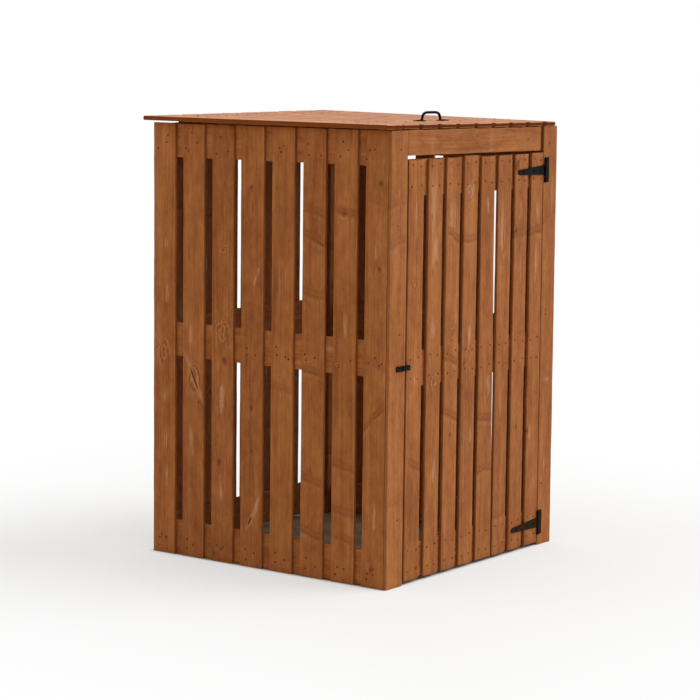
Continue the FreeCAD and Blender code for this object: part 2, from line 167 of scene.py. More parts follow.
class Graph:
    """The nodes of one material or world, written as expressions on Values."""

    def __init__(self, owner):
        owner.use_nodes = True
        self.owner = owner
        self.nodes = owner.node_tree.nodes
        self.links = owner.node_tree.links
        self.nodes.clear()

    def node(self, kind, settings=None, sockets=None, out=0):
        """Adds a node: its settings come first, then the values or links of its sockets."""
        made = self.nodes.new(kind)
        for key, value in (settings or {}).items():
            setattr(made, key, value)
        for key, value in (sockets or {}).items():
            socket = made.inputs[key]
            if isinstance(value, Value):
                self.links.new(value.socket, socket)
            else:
                socket.default_value = (*value, 1) if socket.type == "RGBA" else value
        return Value(self, made.outputs[out]) if made.outputs else None

    def maths(self, operation, a, b=0.0):
        return self.node("ShaderNodeMath", {"operation": operation}, {0: a, 1: b})

    def attribute(self, name, out="Vector"):
        return self.node("ShaderNodeAttribute", {"attribute_name": name}, out=out)

    def split(self, vector):
        made = self.node("ShaderNodeSeparateXYZ", None, {0: vector})
        return [Value(self, s) for s in made.socket.node.outputs]

    def join(self, x, y, z):
        return self.node("ShaderNodeCombineXYZ", None, {0: x, 1: y, 2: z})

    def noise(self, vector, scale=1.0, detail=2.0, rough=0.5):
        """Noise from 0 to 1, about 0.5."""
        return self.node(
            "ShaderNodeTexNoise", {"noise_dimensions": "3D"},
            {"Vector": vector, "Scale": scale, "Detail": detail, "Roughness": rough})

    def ease(self, value, low, high, start=0.0, end=1.0):
        """A smooth step from start at low to end at high."""
        return self.node(
            "ShaderNodeMapRange", {"interpolation_type": "SMOOTHSTEP"},
            {"Value": value, "From Min": low, "From Max": high, "To Min": start, "To Max": end})

    def line(self, value, width):
        """1 where value is 0, easing to 0 at width on both sides."""
        return self.ease(abs(value), width, 0.0)

    def blend(self, factor, a, b):
        """Mixes two colours; the sockets of a Mix node share their names, so they go by number."""
        return self.node(
            "ShaderNodeMix", {"data_type": "RGBA", "clamp_factor": True}, {0: factor, 6: a, 7: b}, out=2)

    def surface(self, colour, roughness, height, depth, specular=0.05):
        """Ends the graph in a Principled shader, its height raised by up to depth in metres."""
        normal = self.node("ShaderNodeBump", None, {"Strength": 1.0, "Distance": depth, "Height": height})
        shader = self.node("ShaderNodeBsdfPrincipled", None, {
            "Base Color": colour, "Roughness": roughness, "Specular IOR Level": specular, "Normal": normal})
        self.node("ShaderNodeOutputMaterial", None, {"Surface": shader})
        return self.owner


# Finishes

def tinted(colour, tint):
    return [min(1.0, c * t) for c, t in zip(colour, tint)]


@functools.cache
def stained_timber(name, tint, gloss, specular, rim_painted_shade):
    """Sawn softwood under an orange-brown stain, with painted shade on its narrow sides as strong as its last
    argument.

    Each board carries its own lengths in the attribute grain, in metres from its middle, and the
    places of its marks, as distances from the nearest mark in shares of that mark's size.
    """
    timber = bpy.context.scene.bin_timber
    stain, deep_stain, worn_and_highlight, heartwood, dark = (
        tinted(own, tint)
        for own in (timber.stain, timber.stain_deep, timber.worn_and_highlight, timber.knot, timber.split))

    def deep(*shade):
        return tinted(deep_stain, shade)

    def lay(share, over):
        """Covers a share of the colour so far."""
        nonlocal colour
        colour = g.blend(share, colour, over)

    g = Graph(bpy.data.materials.new(name))
    across, thick, along = g.split(g.attribute("grain"))
    tone, edge = g.attribute("tone", "Fac"), g.attribute("edge", "Fac")

    def stretched(x, y, z, detail=1.0, rough=0.5):
        """Noise from -0.5 to 0.5."""
        return g.noise(g.join(x, y, z), detail=detail, rough=rough) - 0.5

    blotch = stretched(across * 26, thick * 26, along * 11, 4.0, 0.6)
    patch_noise = stretched(across * 60, thick * 60, along * 34, 3.0, 0.65)
    weave_x = blotch * 1.6 + patch_noise * 0.7
    weave_y = patch_noise * 2.0

    def mark(kind, ragged=1.0):
        """Where a point lies beside the nearest mark, how strong that is, and how far off."""
        x, y, strength = g.split(g.attribute(kind))
        x, y = x + weave_x * ragged, y + weave_y * ragged
        return x, y, strength, g.maths("SQRT", x * x + y * y)

    # The fibres bend round knots
    knot_x, knot_y, knot_on, knot_r = mark("knot", 0.8)
    bend = knot_x * knot_on * g.maths("EXPONENT", (knot_x * knot_x + knot_y * knot_y * 0.16) * -0.5)
    fibre = across + bend * 0.012
    drift = g.noise(g.join(fibre * 14, thick * 14, along * 2.4), detail=1.0)
    band = stretched(fibre * 46 + drift * 2.5, thick * 46, along * 1.5)
    coarse = stretched(fibre * 150 + drift * 4, thick * 150, along * 3.4, 2.0, 0.6)
    fine = stretched(fibre * 620, thick * 620, along * 16, 2.0, 0.6)
    wide_blotch = stretched(across * 4, thick * 4, along * 1.7)
    speck = stretched(across * 330, thick * 330, along * 210)
    pores = g.ease(stretched(fibre * 900, thick * 900, along * 42, 0.0), 0.12, 0.3)

    # How much stain the timber took, from deep at 0 to light at 1
    light = 0.5 + band + coarse * 1.5 + fine * 0.7 + blotch * 1.7
    light = light + patch_noise * 1.3 + wide_blotch * 0.8 + speck * 0.5 + tone
    colour = g.blend(g.ease(light, -0.2, 1.2), deep_stain, stain)
    lay(g.ease(light, 0.75, 1.5, 0.0, 0.5), tinted(stain, (1.2, 1.3, 1.5)))
    lay(g.ease(light, 0.2, -0.5, 0.0, 0.7), deep(0.75, 0.7, 0.7))
    lay(pores * 0.22, deep_stain)

    growth_ring = g.maths("SINE", knot_r * 8 + blotch * 8)
    halo = knot_on * g.ease(knot_r, 2.1, 0.7)
    dark_rings = g.ease(growth_ring, 0.0, 1.0, 0.08, 0.55)
    lay(halo * dark_rings, deep(0.85, 0.8, 0.8))
    lay(halo * g.ease(growth_ring, -0.3, -1.0, 0.0, 0.2), worn_and_highlight)
    heart = knot_on * g.ease(knot_r, 0.95, 0.35)
    lay(heart * 0.9, heartwood)

    _, swirl_y, swirl_on, swirl_r = mark("swirl")
    curl = g.maths("SINE", swirl_r * 13 + blotch * 12 + swirl_y * 3)
    patch = swirl_on * g.ease(swirl_r, 1.2, 0.5)
    lay(patch * 0.3, tinted(stain, (0.95, 0.85, 0.75)))
    lay(patch * g.ease(curl, 0.1, 1.0, 0.0, 0.9), deep(0.8, 0.75, 0.75))
    lay(patch * g.ease(curl, -0.5, -1.0, 0.0, 0.35), worn_and_highlight)

    ripple_x, ripple_y, ripple_on, _ = mark("ripple", 0.0)
    level = ripple_y + (drift - 0.5) * 3.0 + blotch * 2.2 + patch_noise * 1.6
    reach = ripple_on * g.ease(abs(ripple_x), 1.05, 0.7) * g.ease(patch_noise, -0.2, 0.05, 0.35, 1.0)
    broken = g.ease(coarse + fine * 0.9, -0.14, 0.12, 0.1, 1.0)
    lines = g.maths("MINIMUM", g.line(level, 0.8) + g.line(level - 1.5, 0.7) * 0.7, 1.0) * broken
    dip = g.ease(level, -0.4, 0.2) * g.ease(level, 3.2, 0.2)
    lay(reach * dip * 0.62, deep(0.95, 0.9, 0.9))
    lay(reach * lines * 0.8, deep(0.6, 0.55, 0.55))
    lay(reach * g.line(level + 1.1, 0.7) * broken * 0.2, worn_and_highlight)

    _, _, pale_on, pale_r = mark("pale")
    streak = g.ease(coarse + fine * 0.4, -0.16, 0.1)
    lay(pale_on * g.ease(pale_r, 1.25, 0.2) * (0.12 + streak * 0.5), worn_and_highlight)
    _, _, scuff_on, scuff_r = mark("scuff", 1.2)
    scuffed = scuff_on * g.ease(scuff_r + coarse * 2.4 + fine * 0.8, 1.1, 0.5)
    lay(scuffed * (0.15 + streak * 0.55), worn_and_highlight)

    _, _, slash_on, slash_r = mark("slash", 0.25)
    cut = slash_on * g.ease(slash_r + fine * 0.5, 1.05, 0.5)
    lay(slash_on * g.ease(slash_r, 2.6, 1.2, 0.0, 0.3), worn_and_highlight)
    lay(cut * 0.9, dark)

    # Arrises lightened, partly by wear and partly as a painted highlight; narrow sides darkened as painted
    # shade; end grain darkened, with its rings
    ends = g.ease(edge, 1.3, 1.9)
    side = g.ease(edge, 0.4, 1.0) * (1 - ends)
    arris = g.line(edge - 0.4, 0.38)
    core = (across - 0.02) * (across - 0.02) + (thick + 0.03) * (thick + 0.03)
    growth = g.maths("SINE", g.maths("SQRT", core) * 2400)
    # Arrises lightened: partly wear where the stain rubbed thin, partly a painted highlight where they catch
    # the light
    lay(arris * g.ease(coarse, -0.15, 0.1, 0.1, 0.34), worn_and_highlight)
    # Painted shade: the narrow sides are darkened as if they lay in the shadow of the gaps between boards
    lay(side * rim_painted_shade, tinted(deep_stain, [1.1 - 0.7 * rim_painted_shade] * 3))
    lay(ends * g.ease(growth, -1.0, 1.0, 0.75, 0.97), deep(0.36, 0.32, 0.3))

    saw = g.maths("SINE", along * 2100 + across * 260 + blotch * 14)
    height = fine * 0.9 + coarse + speck * 0.45 + patch_noise * 1.2 + saw * 0.08
    height = height - cut * 3.0 - heart * 0.5 - reach * lines * 0.3 + patch * curl * 0.3
    rough = gloss + fine * 0.18 + scuffed * 0.1
    return g.surface(colour, rough, height, 0.0014, specular)


@functools.cache
def black_iron():
    """Black paint over pressed steel, dusty near the ground."""
    iron = bpy.context.scene.bin_iron
    g = Graph(bpy.data.materials.new("black_iron"))
    place = g.node("ShaderNodeTexCoord", out="Object")
    mottle = g.noise(place, scale=160.0, detail=3.0, rough=0.6)
    grit = g.noise(place, scale=1400.0, detail=1.0)
    height = g.split(place)[2]
    dust = g.ease(height + (mottle - 0.5) * 0.1, 0.32, 0.08, 0.0, 0.85)
    rubbed = g.ease(mottle, 0.56, 0.78, 0.0, 0.25)
    cover = g.maths("MAXIMUM", dust * g.ease(mottle, 0.25, 0.6, 0.5, 1.0), rubbed)
    colour = g.blend(cover, iron.paint, iron.dust)
    rough = iron.roughness + (mottle - 0.5) * 0.25 + dust * 0.25
    return g.surface(colour, rough, mottle * 0.6 + grit * 0.4, 0.00015)


@functools.cache
def nail_finish(name, steel):
    """Flat nail heads, with more or less of the boards' stain over them."""
    g = Graph(bpy.data.materials.new(name))
    place = g.node("ShaderNodeTexCoord", out="Object")
    mottle = g.noise(place, scale=300.0)
    colour = g.blend(g.ease(mottle, 0.3, 0.75), steel, tinted(steel, (2.0, 1.9, 1.8)))
    return g.surface(colour, 0.65 + (mottle - 0.5) * 0.3, mottle, 0.0002)


# Boards

def mix(start, end, share):
    return start * (1 - share) + end * share


def wave(place, seed):
    """A smooth random number from about -1 to 1 for a place along a board."""
    return noise.noise(Vector((place, seed * 7.31, seed * 3.17 + 0.5)))


class Mark:
    """A mark in the timber, placed in millimetres from the carcass's front left bottom corner.

    across and along run with the board's width and length, and wide and long are half the mark's
    sizes. A leaning mark drifts sideways along the board, and leaning grain climbs across it.
    """

    def __init__(self, kind, across, along, long, wide, lean=0.0, strength=1.0):
        self.kind = kind
        self.across, self.along, self.long, self.wide = (n * MM for n in (across, along, long, wide))
        self.lean = lean
        self.strength = strength

    def seen_from(self, across, along):
        """(x, y) from the mark to a point, in shares of the mark's half sizes."""
        x = across - self.across
        y = along - self.along
        if self.kind in ("ripple", "swirl"):
            y -= self.lean * x
        else:
            x -= self.lean * y
        return x / self.wide, y / self.long


MARK_KINDS = ("knot", "swirl", "ripple", "scuff", "pale", "slash")
GRAIN_SHIFT = (0.37, 0.11, 1.93)  # metres of grain between one board and the next


def knot(across, along, size=9, strength=1.0):
    return Mark("knot", across, along, size * 1.5, size, 0.0, strength)


def ripple(across, along, lean=0.0, strength=1.0):
    return Mark("ripple", across, along, 10, 42, lean, strength)


def mark_maker(kind, usual_long, usual_wide, usual_strength=1.0):
    """A function that makes one kind of mark, with its usual size and strength."""
    def made(across, along, long=usual_long, wide=usual_wide, lean=0.0, strength=usual_strength):
        return Mark(kind, across, along, long, wide, lean, strength)

    return made


swirl = mark_maker("swirl", 26, 22)
scuff = mark_maker("scuff", 34, 6)
pale = mark_maker("pale", 60, 15, 0.9)
slash = mark_maker("slash", 37, 4)


def nearest_mark(marks, across, along):
    """(x, y, strength) of the nearest mark, with no strength halfway between two of them."""
    near = sorted((Vector(m.seen_from(across, along)).length, i) for i, m in enumerate(marks))
    if not near:
        return 9.0, 9.0, 0.0
    first = marks[near[0][1]]
    strength = first.strength
    if len(near) > 1:
        second = marks[near[1][1]]
        seam = 18 * MM
        if near[1][0] - near[0][0] < seam * (1 / first.long + 1 / second.long):
            strength = 0.0
    return (*first.seen_from(across, along), strength)


def cross_axes(low, high, along):
    """The axes of a board's width and of its thickness."""
    return sorted((i for i in range(3) if i != along), key=lambda i: low[i] - high[i])


def chance_marks(low, high, along, seed):
    """Knots and thin patches for a board that no one has described, about one in each 160 mm."""
    dice = random.Random(seed * 101 + 7)
    wide, _ = cross_axes(low, high, along)
    count = max(3, round((high[along] - low[along]) / (160 * MM)))
    marks = []
    for i in range(count):
        far = mix(low[along], high[along], (i + dice.uniform(0.2, 0.8)) / count)
        out = mix(low[wide], high[wide], dice.uniform(0.15, 0.85))
        kind = dice.choice((knot, swirl, ripple, scuff, pale))
        marks.append(kind(
            (out - CARCASS_CORNER[wide]) / MM, (far - CARCASS_CORNER[along]) / MM,
            strength=dice.uniform(0.5, 1.0)))
    return marks


def section(half_w, half_t, arris, strips):
    """The (across, deep, edge) points round a board; edge is 0 on faces and 1 on narrow sides."""
    a = half_w - arris
    b = half_t - arris
    turns = [math.radians(30), math.radians(60)]
    corner = [(math.sin(t) * arris, math.cos(t) * arris, t / (math.pi / 2)) for t in turns]
    points = []
    for sign in (1, -1):
        points += [(sign * (-a + 2 * a * i / strips), sign * half_t, 0.0) for i in range(strips + 1)]
        points += [(sign * (a + out), sign * (b + up), edge) for out, up, edge in corner]
        points += [(sign * half_w, sign * (b - b * i), 1.0) for i in range(3)]
        points += [(sign * (a + out), -sign * (b + up), edge) for out, up, edge in reversed(corner)]
    return points


def joined(mesh, rings):
    """Joins rings of a bmesh's points, each in order round the piece, and caps both ends."""
    count = len(rings[0])
    for low, high in zip(rings, rings[1:]):
        for i in range(count):
            j = (i + 1) % count
            mesh.faces.new((low[i], low[j], high[j], high[i]))
    mesh.faces.new(rings[0])
    mesh.faces.new(list(reversed(rings[-1])))


def board_mesh(
        name, size, seed, marks, zero, tone=0.0, arris=1.4, bow=0.0, twist=0.0, edges=(0, 0, 0, 0),
        ragged=0.6, end=0.8):
    """A sawn board along local Z from 0, its width on local X and its thickness on local Y.

    size is its width, thickness and length, and zero is where its local zero lies for its marks,
    in metres. The rest, apart from tone, is in millimetres: arris and end are the rounding of its
    long edges and its ends, ragged is how rough its ends are, and edges holds how far its left and
    right edges run out at the low end and then at the high end.
    """
    timber = bpy.context.scene.bin_timber
    width, thick, length = size
    arris = min(arris * MM, thick * 0.3)
    end = end * MM
    stations = max(4, round(length / timber.station))
    ring = section(width / 2, thick / 2, arris, max(3, round(width / timber.strip)))
    steps = [0.0, end] + [length * i / stations for i in range(1, stations)] + [length - end, length]
    left_low, right_low, left_high, right_high = (e * MM for e in edges)
    mesh = bmesh.new()
    edge_layer = mesh.verts.layers.float.new("edge")
    tone_layer = mesh.verts.layers.float.new("tone")
    grain_layer = mesh.verts.layers.float_vector.new("grain")
    kinds = [
        (mesh.verts.layers.float_vector.new(kind), [m for m in marks if m.kind == kind])
        for kind in MARK_KINDS]
    rings = []
    for along in steps:
        capped = along in (0.0, length)
        share = along / length
        left = timber.edge_wave * (wave(along * 9, seed) + 0.5 * wave(along * 40, seed + 9))
        right = timber.edge_wave * (wave(along * 9, seed + 3) + 0.5 * wave(along * 40, seed + 6))
        left += mix(left_low, left_high, share)
        right += mix(right_low, right_high, share)
        curve = bow * MM * math.sin(math.pi * share)
        row = []
        for across, deep, edge in ring:
            side = across / (width / 2)
            x = across + (right * (1 + side) + left * (1 - side)) / 2 + curve
            y = deep + timber.face_wave * wave(along * 22 + deep * 90, seed + 1 + across * 30)
            y += twist * MM * side * (share - 0.5)
            if capped:
                x -= math.copysign(end * 0.7, across)
                y -= math.copysign(end * 0.7, deep)
            bite = 0.0
            if min(along, length - along) <= end:
                bite = ragged * MM * (0.5 + 0.5 * wave(across * 160 + deep * 60, seed + 4 + share))
            vert = mesh.verts.new((x, y, along + math.copysign(bite, 0.5 - share)))
            vert[edge_layer] = 2.0 if capped else edge
            vert[tone_layer] = tone
            vert[grain_layer] = [a + seed * b for a, b in zip((across, deep, along), GRAIN_SHIFT)]
            for layer, alike in kinds:
                vert[layer] = nearest_mark(alike, across + zero[0], along + zero[1])
            row.append(vert)
        rings.append(row)
    joined(mesh, rings)
    return made_mesh(name, mesh)


def made_mesh(name, mesh, sharp=40):
    """Turns a bmesh into a smooth mesh whose steeper edges stay sharp."""
    bmesh.ops.recalc_face_normals(mesh, faces=mesh.faces)
    made = bpy.data.meshes.new(name)
    mesh.to_mesh(made)
    mesh.free()
    made.shade_smooth()
    made.set_sharp_from_angle(angle=math.radians(sharp))
    return made


def placed(name, data):
    """A new object in the scene."""
    made = bpy.data.objects.new(name, data)
    bpy.context.scene.collection.objects.link(made)
    return made


def piece(mesh, material, body, node):
    """Puts a mesh in the scene on its body, in place of the node that it stands for."""
    mesh.materials.append(material)
    made = placed(mesh.name, mesh)
    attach(made, body)
    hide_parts(node)
    return made


def board(
        name, node, low, high, along, seed, material, body="frame", slot="stained_timber", marks=None,
        **look):
    """Builds a board that fills low to high, its length along one axis, and lets it stand for node.

    Its seed is its own: the waves of its edges, its grain and its chance marks follow from it.
    """
    size = high - low
    wide, thin = cross_axes(low, high, along)
    middle = (low + high) / 2
    zero = (middle[wide] - CARCASS_CORNER[wide], low[along] - CARCASS_CORNER[along])
    if marks is None:
        marks = chance_marks(low, high, along, seed)
    mesh = board_mesh(name, (size[wide], size[thin], size[along]), seed, marks, zero, **look)
    start = middle - AXES[along] * size[along] / 2
    turn = Matrix((AXES[wide], AXES[thin], AXES[along])).transposed()
    if turn.determinant() < 0:
        turn.col[1] = -turn.col[1]
    mesh.transform(Matrix.Translation(start) @ turn.to_4x4())
    return piece(mesh, material, body, node)


def node_board(name, node, along, seed, shade, slot="stained_timber", **look):
    """A board that fills its node's own box."""
    low, high = flat_box(node)
    board(name, node, low, high, along, seed, wall(shade), slot=slot, **look)


def cross_boards(name, node, along, seed, body="frame", slot="stained_timber", lifts=(0, 0, 0)):
    """The bottom, middle and top boards across others; lifts raises their undersides, in millimetres."""
    for k, level in enumerate(("bottom", "middle", "top")):
        low, high = flat_box(node + level)
        low.z += lifts[k] * MM
        board(name + level, node + level, low, high, along, seed + k, wall(RAIL_PAINTED_LIGHT_SHARES), body, slot)


# Marks of the left panel: how far back from the front edge, and how high

SIDE_MARKS = {
    1: [knot(31, 1064, 8), scuff(47, 886, 22, 4), knot(34, 842, 7), ripple(52, 441, -0.81),
        scuff(43, 186, 48), knot(50, 48, 7), scuff(31, 1158, 16, 3, strength=0.4),
        ripple(45, 1010, 0.4, 0.4), ripple(45, 590, 0.3, 0.5)],
    2: [ripple(145, 977, 0.29), knot(150, 984, 8), scuff(142, 690, 38), ripple(145, 310, 0.1, 0.7),
        ripple(145, 188, 0.1, 0.7), ripple(145, 118, 0.15, 0.7), swirl(165, 585, 12, 12)],
    3: [ripple(248, 975, 0.3, 0.8), ripple(248, 905, 0.45), ripple(248, 757, 0.1, 0.7),
        ripple(248, 551, 0.2, 0.9), ripple(248, 262, 0.25, 0.8), ripple(248, 115, 0.35, 0.9)],
    4: [knot(372, 1040, 6, 0.5), ripple(351, 500, 0.1, 0.4), pale(355, 780, 40, 8, strength=0.4)],
    5: [knot(458, 1036, 7), knot(455, 439, 7), knot(452, 320, 8), scuff(438, 805, 34, 6, -0.42),
        scuff(440, 165, 45, 9, -0.35), slash(458, 128, 14, 3, -0.45), pale(462, 980, 34, 6, strength=0.6)],
    6: [swirl(555, 863, 20, 17), swirl(560, 640, 52, 32), knot(550, 560, 9), scuff(557, 453, 58, 9),
        knot(566, 277, 8), scuff(562, 191, 44, 7)],
    7: [scuff(671, 620, 44, 7), swirl(657, 512, 52, 32), slash(657, 502, 37, 4, 0.486),
        scuff(667, 329, 40, 9), knot(640, 438, 5)],
    8: [scuff(758, 870, 16), scuff(755, 734, 30), pale(764, 436, 28, 10), scuff(760, 318, 42, 8),
        pale(757, 225, 30, 9), swirl(770, 572, 42, 30)],
}
SIDE_TONES = (0.02, -0.04, 0.05, 0.02, -0.06, -0.14, -0.1, 0.0)

# Nails of the left panel, from the back board to the front one: at the top and middle rails, then at the foot

SIDE_NAIL_SPOTS = (
    (753, 1167), (757, 1148), (788, 1131), (667, 1177), (648, 1150), (688, 1134), (679, 1127),
    (580, 1122), (540, 1129), (566, 1167), (472, 601), (472, 582), (441, 584), (364, 1144),
    (360, 1134), (350, 1150), (371, 613), (369, 591), (339, 588), (329, 583), (269, 1158),
    (267, 1129), (226, 1129), (274, 601), (271, 586), (241, 594), (155, 1167), (164, 1129),
    (138, 1146), (124, 596), (162, 577), (69, 1148), (53, 1150), (79, 1125), (45, 610),
    (66, 596), (31, 591), (23, 596), (773, 51), (781, 42), (757, 44), (782, 19),
    (681, 48), (659, 34), (680, 23), (574, 45), (559, 35), (553, 41), (582, 23),
    (472, 47), (443, 40), (471, 19), (369, 52), (338, 35), (369, 26), (264, 52),
    (233, 32), (265, 23), (160, 41), (138, 39), (166, 21), (43, 51), (62, 37),
    (43, 35), (64, 22))

# Marks of the front: how far from the left edge, and how high

DOOR_MARKS = {
    1: [scuff(114, 982, 52, 5), swirl(114, 805, 20, 18), scuff(118, 539, 26), ripple(125, 310, -0.5, 0.9)],
    2: [pale(195, 1015, 95, 18), scuff(204, 882, 55, 16), pale(200, 672, 30, 16), swirl(205, 532, 30, 28),
        scuff(214, 294, 38, 7)],
    3: [pale(290, 965, 40, 22), ripple(300, 910, -0.6), swirl(290, 653, 20, 18), ripple(285, 585, -0.35),
        ripple(290, 430, -0.5), knot(290, 377, 7)],
    4: [swirl(373, 1030, 30, 24), pale(373, 1030, 30, 20), ripple(370, 900, 0.1, 0.8),
        scuff(376, 641, 34, 12), knot(352, 567, 7), scuff(388, 367, 26)],
    5: [scuff(457, 986), scuff(463, 724, 34, 4, strength=0.5), scuff(468, 494, 34, 9),
        ripple(460, 398, -0.15), ripple(458, 258, 0.1, 0.8)],
    6: [pale(533, 920, 88, 14), swirl(533, 605, 34, 16), scuff(540, 430, 60, 4, strength=0.7),
        ripple(540, 120, 0.2, 0.6)],
    7: [knot(603, 1091, 14), knot(601, 912, 11), ripple(628, 903, 0.1, 0.8), scuff(626, 968, 30, 8),
        knot(623, 358, 8), pale(630, 800, 46, 8, strength=0.5)],
    8: [pale(714, 962, 30, 12), pale(708, 820, 60, 10), knot(684, 339), scuff(695, 333),
        ripple(706, 905, 0.1)],
}
DOOR_TONES = (0.0, 0.1, 0.04, 0.04, -0.08, -0.04, 0.02, -0.02)
DOOR_TOPS = (-3.3, -3.4, -2.4, 1.4, -3.4, -2.5, -1.9, 0.0)  # millimetres above each board's node
DOOR_EDGES = {5: (0, 11, 0, -1.5), 8: (0, 6, 0, 0)}
POST_LEFT_MARKS = [
    swirl(33, 958, 18, 14), ripple(30, 1010, 0.3, 0.6), ripple(30, 905, 0.2, 0.5), knot(40, 726, 5, 0.5),
    scuff(45, 420, 40, 5, strength=0.5), ripple(36, 228, 0.2, 0.4)]
POST_RIGHT_MARKS = [
    pale(771, 478, 9, 22), scuff(773, 233), knot(766, 677, 4), ripple(775, 940, 0.5, 0.6),
    scuff(790, 1000, 60, 4)]

# Marks of the rail over the door: how high, and how far from the left edge

RAIL_MARKS = [
    pale(1165, 185, 14, 50, strength=0.35), pale(1165, 470, 16, 50, strength=0.35), knot(1180, 400, 4, 0.6)]

# Shares of the stain's red, green and blue in each group of boards, with painted light on the rails and on
# the lid's top and painted shade on the lid's edges and ends

SIDE_SHADE = (1.14, 1.12, 1.1)
FRONT_SHADE = (1.0, 1.0, 1.0)
# Painted light: the rails are lighter so that they stay bright in the shade where they cross the boards
RAIL_PAINTED_LIGHT_SHARES = (1.22, 1.2, 1.25)
# Painted light: the lid's shares are raised so that its top shows lighter, as it does in the light from above
LID_PAINTED_LIGHT_SHARES = (1.78, 1.7, 1.15)
# Painted shade: darker shares for the lid's edges and ends than for its top
LID_RIM_PAINTED_SHADE_SHARES = (0.9, 0.72, 0.5)


def flat_box(node):
    return [Vector(corner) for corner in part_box(node)]


def wall(shade):
    name = "stained_timber_%d" % round(sum(shade) * 100)
    # The walls' narrow sides take a light painted shade
    return stained_timber(name, shade, gloss=0.68, specular=0.15, rim_painted_shade=0.3)


# Panels

class BINSTORE_OT_left_panel(bpy.types.Operator):
    """Makes the left panel's eight boards and three rails"""

    bl_idname = "binstore.left_panel"
    bl_label = "Left Panel"

    def execute(self, context):
        for number in range(1, 9):
            node = "left_board_%d" % number
            low, high = flat_box(node)
            if number == 8:
                high.z += 2 * MM
            look = {"arris": 2.0, "edges": (0.5, 0, 0.5, 0)} if number == 1 else {}
            board(
                "left_slat_%d" % number, node, low, high, UPRIGHT, number, wall(SIDE_SHADE),
                marks=SIDE_MARKS[number], tone=SIDE_TONES[number - 1],
                twist=0.7 * wave(number, 2), bow=0.8 * wave(number * 3.1, 5), **look)
        cross_boards("left_crossrail_", "left_rail_", ALONG_Y, 20, lifts=(0.8, 0, 0))
        return {"FINISHED"}


class BINSTORE_OT_right_panel(bpy.types.Operator):
    """Makes the right panel's eight boards and three rails"""

    bl_idname = "binstore.right_panel"
    bl_label = "Right Panel"

    shifts = {1: (0, 10), 4: (-5, -6), 5: (-2, -11)}  # millimetres, of a board's front and back edges

    def execute(self, context):
        for number in range(1, 9):
            left_low, left_high = flat_box("left_board_%d" % number)
            low, high = flat_box("right_boards")
            start, end = self.shifts.get(number, (0, 0))
            low.y, high.y = left_low.y + start * MM, left_high.y + end * MM
            board(
                "right_slat_%d" % number, "right_boards", low, high, UPRIGHT, 30 + number, wall(SIDE_SHADE),
                tone=0.08 * wave(number * 1.7, 8), bow=1.0 * wave(number * 2.3, 6))
        cross_boards("right_crossrail_", "right_rail_", ALONG_Y, 50, lifts=(0.8, 0, -5.5))
        return {"FINISHED"}


class BINSTORE_OT_back_panel(bpy.types.Operator):
    """Makes the back panel's boards and rails"""

    bl_idname = "binstore.back_panel"
    bl_label = "Back Panel"

    count: bpy.props.IntProperty(name="Boards", description="Boards across the back", default=7, min=2)
    width: length_setting("Width", "Width of a board", 74 * MM)

    def execute(self, context):
        low, high = flat_box("back_boards")
        pitch = (high.x - low.x - self.width) / (self.count - 1)
        for i in range(self.count):
            start, end = low.copy(), high.copy()
            start.x += i * pitch
            end.x = start.x + self.width
            board(
                "back_slat_%d" % (i + 1), "back_boards", start, end, UPRIGHT, 60 + i, wall(SIDE_SHADE),
                tone=0.08 * wave(i * 1.9, 3), bow=1.0 * wave(i * 2.9, 4))
        cross_boards("back_crossrail_", "back_rail_", ALONG_X, 70)
        return {"FINISHED"}


class BINSTORE_OT_front_frame(bpy.types.Operator):
    """Makes the two front posts, the rail over the door, its batten and the four corner battens"""

    bl_idname = "binstore.front_frame"
    bl_label = "Front Frame"

    def execute(self, context):
        front = {"shade": FRONT_SHADE, "slot": "door_timber"}
        node_board(
            "front_upright_left", "front_post_left", UPRIGHT, 81, marks=POST_LEFT_MARKS, tone=0.02,
            arris=2.0, **front)
        node_board(
            "front_upright_right", "front_post_right", UPRIGHT, 82, marks=POST_RIGHT_MARKS, tone=0.02,
            arris=2.5, edges=(6, 8, -1, 0), **front)
        node_board(
            "front_lintel", "front_rail", ALONG_X, 83, marks=RAIL_MARKS, tone=0.25, arris=2.0,
            edges=(0, 0, -2.0, -2.5), **front)
        node_board("head_packer", "head_batten", ALONG_X, 84, SIDE_SHADE)
        for k, corner in enumerate(("front_left", "front_right", "back_left", "back_right")):
            node_board("corner_stick_" + corner, "corner_batten_" + corner, UPRIGHT, 85 + k, SIDE_SHADE)
        return {"FINISHED"}


class BINSTORE_OT_door(bpy.types.Operator):
    """Makes the door's eight boards and three ledges"""

    bl_idname = "binstore.door"
    bl_label = "Door"

    def execute(self, context):
        for number in range(1, 9):
            node = "door_board_%d" % number
            low, high = flat_box(node)
            high.z += DOOR_TOPS[number - 1] * MM
            board(
                "door_slat_%d" % number, node, low, high, UPRIGHT, 100 + number, wall(FRONT_SHADE), "door",
                "door_timber", DOOR_MARKS[number], tone=DOOR_TONES[number - 1], arris=2.8,
                twist=0.6 * wave(number, 12), bow=0.6 * wave(number * 2.7, 13),
                edges=DOOR_EDGES.get(number, (0, 0, 0, 0)))
        cross_boards("door_crossledge_", "door_ledge_", ALONG_X, 110, "door", "door_timber")
        return {"FINISHED"}


